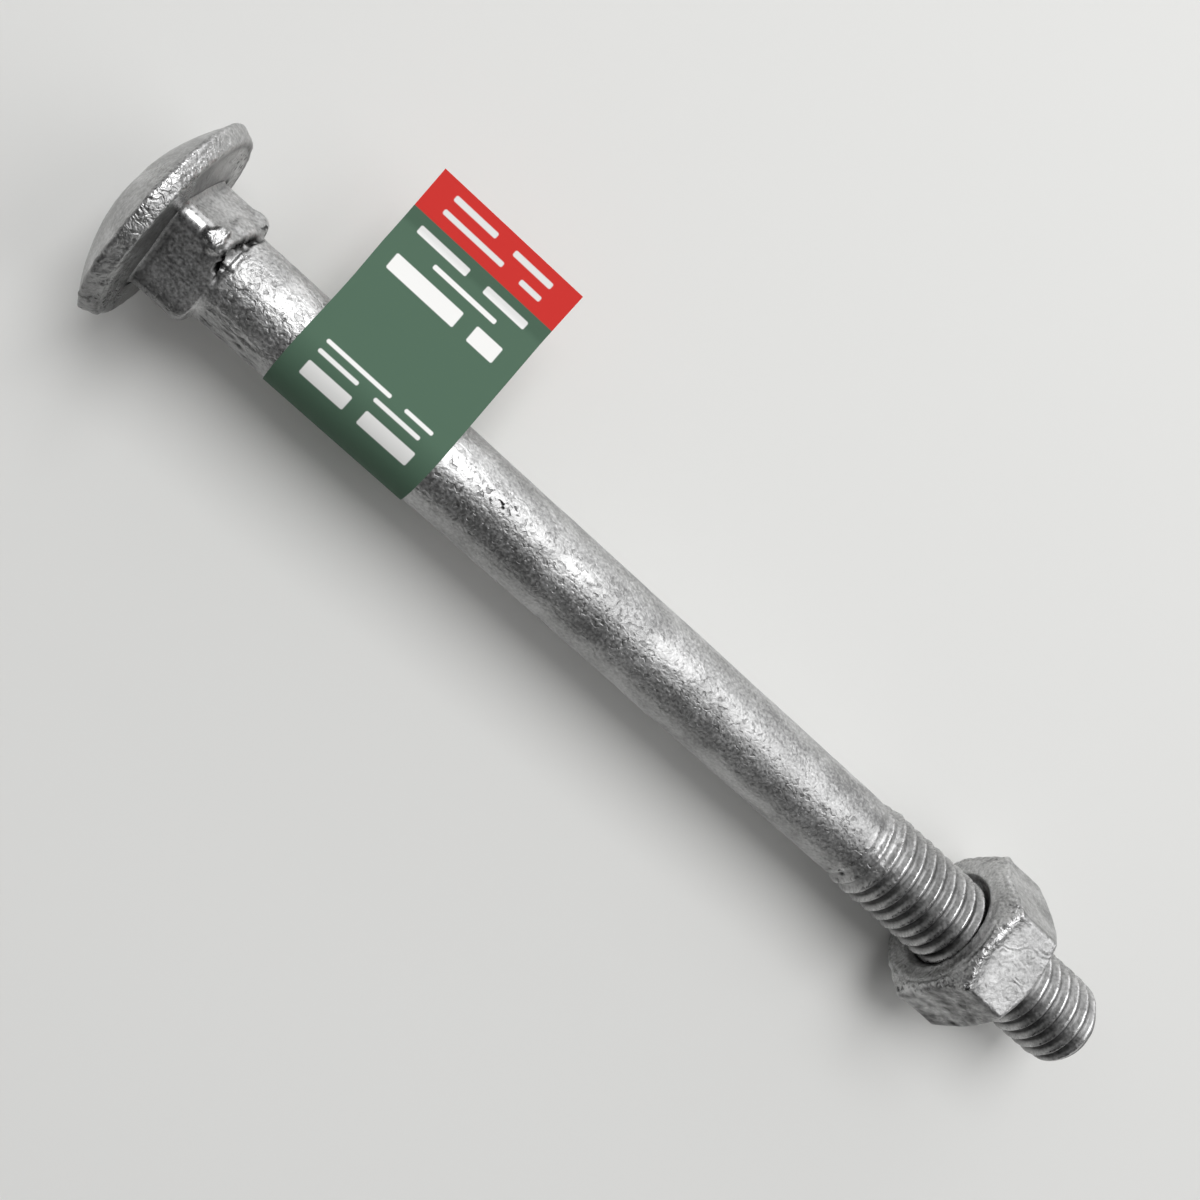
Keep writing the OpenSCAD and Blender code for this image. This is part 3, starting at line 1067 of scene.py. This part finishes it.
@dataclass(kw_only=True)
class HexNut(TurnedPiece):
    """The nut: six flats, chamfered at both ends, with a countersunk, tapped bore."""

    name: str = "hex_nut"
    node: str = "nut"
    body: Body = Body.NUT
    slot: Slot = Slot.NUT
    at: float
    thickness: float
    flat_r: float
    corner_r: float = 0.45
    face_inset: float = 0.7
    chamfer_deg: float = 34.0
    sink_depth: float = 0.9
    sink_w: float = 0.65
    # Gap that the tapped thread keeps from the bolt's
    play: float = 0.13
    # Turn of one corner from straight up
    corner_at: float = 30.0
    columns: int = 216
    # How often the profile's corners are smoothed
    softening: int = 6

    @classmethod
    def from_frame(cls, thread: Thread, finish: Finish) -> "HexNut":
        """Takes the nut's place, thickness and flats from the CAD node's box."""
        low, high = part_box("nut")
        return cls(
            finish=finish,
            thread=thread,
            at=low.x / MM,
            thickness=(high.x - low.x) / MM,
            flat_r=high.z / MM,
        )

    def chamfer_drop(self, r: Array | float) -> Array | float:
        """Gives the depth of the chamfer's cone at a radius: (r - face) tan(chamfer)."""
        return (r - self.flat_r + self.face_inset) * tan(radians(self.chamfer_deg))

    @property
    def section(self) -> Array:
        """Radius of the rounded hexagon, for each column."""
        return rounded_polygon(self.psi, 6, self.flat_r, self.corner_r, self.corner_at)

    def surface(self) -> Surface:
        """Carries the closed profile round the axis.

        Returns:
            The skin, with the fields of its coat.
        """
        profile, bore = self.profile()
        for _ in range(self.softening):
            profile = (np.roll(profile, 1, axis=0) + 2.0 * profile + np.roll(profile, -1, axis=0)) / 4.0
        x = profile[..., 0] + self.at
        depth_in = np.minimum(profile[..., 0], self.thickness - profile[..., 0])
        profile[..., 1] -= self.thread.drop(x, self.psi) * bore * smooth_step(depth_in, 0.55, 1.15)
        base = turned(x, profile[..., 1], self.psi)
        coat = self.coat(base, profile, bore)
        points = base + grid_normals(base, closed_rows=True) * coat.lift[..., None]
        quads = grid_quads(len(points), self.columns, closed_rows=True)
        return Surface(points=points.reshape(-1, 3), quads=quads, fields=coat.fields())

    def profile(self) -> tuple[Array, Array]:
        """Gives the closed profile of each column as x and r, and which rows are the bore.

        Each column runs straight between eight corners: the two ends of the flat, where the
        chamfer's cone meets the rounded hexagon, the two end faces, and the countersinks and the
        bore.

        Returns:
            Rows by columns by 2, and rows by 1 with 1 in the bore.
        """
        flat, end = self.section, self.thickness
        drop = self.chamfer_drop(flat)
        face_r, bore_r = self.flat_r - self.face_inset, self.thread.crest_r + self.play
        # Each corner's x and r, and the number of rows to the next one
        corners = (
            (0.0, face_r, 9),
            (drop, flat, 42),
            (end - drop, flat, 9),
            (end, face_r, 13),
            (end, bore_r + self.sink_w, 8),
            (end - self.sink_depth, bore_r, 62),
            (self.sink_depth, bore_r, 8),
            (0.0, bore_r + self.sink_w, 13),
        )
        stops = [stacked(x, r, flat)[:, :2] for x, r, _ in corners]
        rows, bore = [], []
        for k, (_, _, count) in enumerate(corners):
            share = (np.arange(count) / count)[:, None, None]
            rows.append(stops[k] + (stops[(k + 1) % len(stops)] - stops[k]) * share)
            bore.append(np.full((count, 1), float(k in (4, 5, 6))))
        return np.concatenate(rows), np.concatenate(bore)

    def coat(self, base: Array, profile: Array, bore: Array) -> Coat:
        """Works out the zinc on the nut: soft lumps, and a bead along each flat's edge to the chamfer.

        Args:
            base: Points of the bare form.
            profile: Depth from the face towards the head, and radius.
            bore: 1 in the bore's rows.

        Returns:
            The coat.
        """
        depth, r = profile[..., 0], profile[..., 1]
        depth_in = np.minimum(depth, self.thickness - depth)
        outside = 1.0 - bore
        past_cone = depth_in - self.chamfer_drop(self.section)
        on_flat = smooth_step(r, self.flat_r - 0.25, self.flat_r - 0.05) * outside
        at_edge = smooth_step(r, self.flat_r - 0.6, self.flat_r - 0.3) * outside
        near_end = 1.0 - smooth_step(depth, self.thickness * 0.4, self.thickness * 0.6)
        bead = at_edge * hill(past_cone, 0.0, 0.75) * (0.2 + 0.8 * near_end)
        corner = turn_between(self.psi * 6.0, 180.0) / 6.0
        arris = on_flat * hill(corner, 0.0, 1.8)
        past_edge = np.abs(turn_between(self.psi, 0.0)) - 30.0
        groove = on_flat * hill(past_edge, 2.2, 0.9) * smooth_step(past_cone, 0.0, 0.5)
        face = outside * hill(depth_in, 0.0, 0.4) * (1.0 - on_flat)
        rim = hill(depth_in, 0.0, 0.35) * hill(r, self.thread.crest_r + self.play + self.sink_w, 0.4)
        low_side = outside * side(self.psi, -66.0, 34.0, 6.0)
        # Patches that paint the lower facets darker, painted shade on the side turned from the light
        darker_tone = smooth_step(past_cone, -0.15, 0.05) * (0.4 + 0.55 * cloud(base, 1.2, 36, 3))
        return Coat(
            lift=outside * (0.03 * cloud(base, 2.3, 31) + 0.014 * cloud(base, 0.9, 32))
            + bead * (0.16 + 0.12 * cloud(base, 0.8, 33))
            + 0.02 * arris
            - 0.05 * groove
            + 0.05 * rim
            + 0.03 * face * cloud(base, 1.4, 35),
            crust=outside * 0.1 + 0.8 * bead + 0.2 * arris + 0.25 * rim,
            # Painted shade: deeper in the bore, in the groove by each flat's edge and on the low facets,
            # which also get more pores
            crevice=0.5 * bore * smooth_step(depth_in, 0.2, 1.2) + 0.6 * groove + low_side * (0.1 + darker_tone),
            pores=0.6 * bead * (1.0 - 0.8 * smooth_step(np.abs(corner), 0.0, 9.0))
            + 0.12 * outside
            + 0.25 * low_side,
            tooth=np.full_like(depth, 0.55),
            gloss=0.3 + 0.4 * bead,
        )


@dataclass(kw_only=True)
class FlagLabel(Piece):
    """The label: one strip looped round the shank, its two ends stuck face to face."""

    name: str = "folded_label"
    node: str = "flag_label"
    body: Body = Body.BOLT
    slot: Slot = Slot.PAPER
    at: float
    width: float
    clearance: float = 0.02
    # Distances from the axis to the flag's edge and to where its two plies meet
    reach: float = 20.095
    join: float = 14.4
    ply: float = 0.15
    # Turn of the flag from straight up
    turn: float = 81.0
    # Gap between the two plies of the flag
    glue: float = 0.006
    step: float = 0.3
    columns: int = 33
    # How far the paper waves, and how much shorter and wider its corner nearest the head is cut
    wave: float = 0.05
    corner_short: float = 0.3
    corner_wide: float = 0.35

    @classmethod
    def from_frame(cls, finish: Finish) -> "FlagLabel":
        """Takes the label's place and width from the CAD node's box."""
        low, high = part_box("flag_label")
        return cls(finish=finish, at=low.x / MM, width=(high.x - low.x) / MM)

    @property
    def loop_r(self) -> float:
        """Radius of the middle of the paper round the shank."""
        return SHANK_R + self.clearance + self.ply / 2.0

    def middle_line(self) -> Array:
        """Gives the middle of the paper in the flag's plane: the reach and the height over it.

        From the flag's end the upper ply runs straight to the join, then along the tangent to the
        loop, which it leaves at acos(loop_r / join) from the flag. It goes round the shank and
        comes back the same way underneath.

        Returns:
            Points by 2, evenly spaced.
        """
        lift = self.ply / 2.0 + self.glue / 2.0
        lean = np.arccos(self.loop_r / self.join)
        arc = np.linspace(lean, 2.0 * pi - lean, 80)
        loop = stacked(self.loop_r * np.cos(arc), self.loop_r * np.sin(arc))
        upper = np.array([[self.reach, lift], [self.join, lift]])
        line = np.concatenate((upper, loop, upper[::-1] * (1.0, -1.0)))
        run = np.concatenate(([0.0], np.cumsum(np.linalg.norm(np.diff(line, axis=0), axis=1))))
        even = np.linspace(0.0, run[-1], int(run[-1] / self.step) + 1)
        return stacked(np.interp(even, run, line[:, 0]), np.interp(even, run, line[:, 1]))

    def strip_length(self) -> float:
        """Gives the flat length of the strip."""
        return float(np.linalg.norm(np.diff(self.middle_line(), axis=0), axis=1).sum())

    def surface(self) -> Surface:
        """Gives the strip its thickness and closes its four cut edges.

        At each place along the strip the section is a thin rectangle: the printed side is half a
        ply out from the middle line, and the bare side half a ply in.

        Returns:
            The paper, with its strip field: mm along, mm across and 1 on the printed side.
        """
        line = self.middle_line()
        count = len(line)
        forward = np.gradient(line, axis=0)
        forward /= np.linalg.norm(forward, axis=1, keepdims=True)
        outward = stacked(forward[:, 1], -forward[:, 0])
        outward *= np.sign((outward * line).sum(axis=1, keepdims=True) + TINY)
        flag = line[:, 0] > self.join - 1.5
        outward[flag] = stacked(0.0, np.sign(line[flag, 1]))
        across = np.linspace(0.0, self.width, self.columns)
        along = np.linspace(0.0, self.strip_length(), count)
        s, w = np.meshgrid(along, across, indexing="ij")
        layers, fields = [], []
        # The columns run across the printed side and back across the bare one
        for printed, order in ((1.0, slice(None)), (0.0, slice(None, None, -1))):
            p, q = np.moveaxis((line + outward * ((printed - 0.5) * self.ply))[:, None], -1, 0)
            free = smooth_step(p, 5.0, 12.0)
            wave = self.wave * free * cloud(stacked(p, w, 0.0), 9.0, 41, 1)
            askew = (1.0 - w / self.width) * p / self.reach * free
            layer = stacked(self.at + w - self.corner_wide * askew, p - self.corner_short * askew, q + wave)
            layers.append(layer[:, order])
            fields.append(stacked(s, w, printed)[:, order])
        x, reach, height = np.moveaxis(np.concatenate(layers, axis=1), -1, 0)
        up, out = cos(radians(self.turn)), sin(radians(self.turn))
        points = stacked(x, reach * out - height * up, reach * up + height * out)
        loop = 2 * self.columns
        k = np.arange(self.columns - 1)
        first = stacked(k, k + 1, loop - 2 - k, loop - 1 - k)
        last = (count - 1) * loop + first[:, ::-1]
        return Surface(
            points=points.reshape(-1, 3),
            quads=np.concatenate((grid_quads(count, loop), first, last)),
            fields={"strip": np.concatenate(fields, axis=1).reshape(-1, 3)},
            sharp_from=50.0,
        )


@dataclass(frozen=True)
class Softbox:
    """A large soft lamp over the bolt, placed by its turn and its lean along the axis."""

    name: str
    turn: float
    lean: float
    distance_m: float
    size_m: tuple[float, float]
    watts: float

    def build(self, target: Vector) -> None:
        """Hangs the lamp: from the target along (sin l, cos l sin t, cos l cos t), facing back.

        Args:
            target: What the lamp faces, in metres.
        """
        lean, turn = radians(self.lean), radians(self.turn)
        back = Vector((sin(lean), cos(lean) * sin(turn), cos(lean) * cos(turn)))
        across = (Vector((1.0, 0.0, 0.0)) - back * back.x).normalized()
        lamp = bpy.data.lights.new(self.name, "AREA")
        lamp.shape = "RECTANGLE"
        lamp.size, lamp.size_y = self.size_m
        lamp.energy = self.watts
        place = target + back * self.distance_m
        add_object(self.name, lamp).matrix_world = looking(place, across, back.cross(across), back)


@dataclass(frozen=True)
class Studio:
    """The floor, the lamps, the room and the camera."""

    # Lowest points that the bolt rests on: the head's rim and the nut's far edge, as x and z
    rim_rest: tuple[float, float]
    nut_rest: tuple[float, float]
    floor_half_m: float = 3.0
    floor_gap: float = 0.03
    boxes: tuple[Softbox, ...] = (
        Softbox("key_softbox", 27.0, -5.0, 0.60, (0.33, 0.42), 2.2),
        Softbox("fill_softbox", 20.0, 38.0, 0.70, (0.42, 0.50), 1.0),
        Softbox("side_softbox", 80.0, -6.0, 0.55, (0.34, 0.26), 0.4),
        Softbox("head_softbox", 15.0, -60.0, 0.70, (0.30, 0.30), 0.1),
    )
    # What the lamps face
    middle_m: tuple[float, float, float] = (0.055, 0.0, 0.0)
    # Tones of the room, and the directions' Y between which it goes from dim to lit
    dim_side: str = "#505050"
    lit_side: str = "#c4c4c4"
    room_levels: tuple[float, float] = (-0.5, 0.7)
    # The camera as the photograph gives it: distances in mm from the head's bearing face
    camera_at: tuple[float, float, float] = (19.60, -0.65, 123.82)
    focal_px: float = 1342.9
    sensor_mm: float = 36.0
    clip_m: tuple[float, float] = (0.005, 20.0)
    # Turn of the camera's side about the bolt, the bolt's slope away from the camera, and its
    # slope across the picture
    camera_turn: float = -6.7
    tilt: float = 13.732
    slant: float = 41.925

    def build(self) -> None:
        """Builds the room round the finished bolt."""
        self.add_floor()
        self.add_world()
        for box in self.boxes:
            box.build(Vector(self.middle_m))
        self.add_camera()
        bpy.context.scene.view_settings.view_transform = "Standard"
        log.info("studio: floor, room, %d lamps and the camera", len(self.boxes))

    def add_floor(self) -> None:
        """Lays a flat sheet through the two points that the bolt rests on."""
        (rim_x, rim_z), (nut_x, nut_z) = self.rim_rest, self.nut_rest
        half = self.floor_half_m / MM
        x = np.array([-half, half, half, -half])
        y = np.array([-half, -half, half, half])
        z = rim_z - self.floor_gap + (nut_z - rim_z) / (nut_x - rim_x) * (x - rim_x)
        floor = Surface(points=stacked(x, y, z), quads=np.array([[0, 1, 2, 3]])).to_object("studio_floor")
        floor.data.materials.append(StudioPaper().material())

    def add_world(self) -> None:
        """Makes the room grey, dimmer on the side away from the key lamp, by the direction's Y."""
        world = bpy.data.worlds.new("studio_room")
        bpy.context.scene.world = world
        world.use_nodes = True
        world.node_tree.nodes.clear()
        add = partial(add_node, world.node_tree)
        way = add("ShaderNodeSeparateXYZ", {"Vector": add("ShaderNodeTexCoord", out="Generated")}, "Y")
        low, high = self.room_levels
        share = add("ShaderNodeMapRange", {"Value": way, "From Min": low, "From Max": high})
        tones = {0: share, 6: linear(self.dim_side), 7: linear(self.lit_side)}
        mix = add("ShaderNodeMix", tones, 2, data_type="RGBA")
        room = add("ShaderNodeBackground", {"Color": mix, "Strength": 1.0})
        add("ShaderNodeOutputWorld", {"Surface": room})

    def add_camera(self) -> None:
        """Places the camera as the photograph's outline gives it.

        The view's axes are the bolt's axis, the direction across it and the direction up from it
        towards the camera. The camera looks along (sin tilt, 0, -cos tilt), and its right side is
        cos slant (cos tilt, 0, sin tilt) - sin slant (0, 1, 0).
        """
        turn, tilt, slant = radians(self.camera_turn), radians(self.tilt), radians(self.slant)
        along = Vector((1.0, 0.0, 0.0))
        up = Vector((0.0, sin(turn), cos(turn)))
        across = Vector((0.0, -cos(turn), sin(turn)))
        far = along * cos(tilt) + up * sin(tilt)
        ahead = along * sin(tilt) - up * cos(tilt)
        right = far * cos(slant) - across * sin(slant)
        down = far * sin(slant) + across * cos(slant)
        x, y, z = self.camera_at
        place = (along * x + across * y + up * z) * MM
        lens = bpy.data.cameras.new("photo_camera")
        lens.sensor_width = self.sensor_mm
        lens.lens = self.sensor_mm * self.focal_px / PHOTO_PX
        lens.clip_start, lens.clip_end = self.clip_m
        camera = add_object("photo_camera", lens)
        camera.matrix_world = looking(place, right, -down, -ahead)
        bpy.context.scene.camera = camera


def label_print() -> tuple[PrintedBar, ...]:
    """Gives the label's plain bars: rows of blocks in place of print.

    Returns:
        The bars, in mm on the strip.
    """
    rows = (
        # Place along the strip, half height, and each bar's middle and half length across it
        (1.3, 0.3, ((4.6, 2.4), (11.2, 2.2))),
        (2.85, 0.26, ((5.6, 3.4), (12.2, 1.2))),
        (5.5, 0.42, ((4.4, 2.8), (11.6, 2.4))),
        (7.2, 0.26, ((8.2, 3.6),)),
        (9.5, 0.9, ((5.4, 3.8), (12.3, 1.5))),
        (19.0, 0.2, ((5.6, 3.6), (12.4, 1.6))),
        (20.1, 0.2, ((4.2, 2.2), (10.8, 2.6))),
        (22.0, 0.75, ((4.4, 2.4), (11.2, 2.8))),
    )
    return tuple(PrintedBar(x, y, half_x, half_y) for x, half_x, spans in rows for y, half_y in spans)


def main() -> None:
    """Builds the pieces and the studio in order."""
    logging.basicConfig(level=logging.INFO, format="%(name)s: %(message)s")
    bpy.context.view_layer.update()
    thread = Thread()
    steel = HotDipZinc("hot_dip_zinc_on_forging")
    nut_zinc = HotDipZinc(
        "hot_dip_zinc_on_nut", grain_stretch=1.0, grain_height_mm=0.06, ripple_height_mm=0.03
    )
    bolt = BoltForging.from_frame(thread, steel)
    nut = HexNut.from_frame(thread, nut_zinc)
    plain = FlagLabel.from_frame(steel)
    paper = PrintedPaper("printed_label_paper", bars=label_print(), strip_mm=plain.strip_length())
    label = FlagLabel.from_frame(paper)
    for piece in (bolt, nut, label):
        piece.build()
    rim_rest = (-bolt.lip_h, -bolt.head_r)
    nut_rest = (nut.at + nut.thickness - nut.chamfer_drop(nut.flat_r), -nut.flat_r)
    Studio(rim_rest=rim_rest, nut_rest=nut_rest).build()


if __name__ == "__main__":
    main()
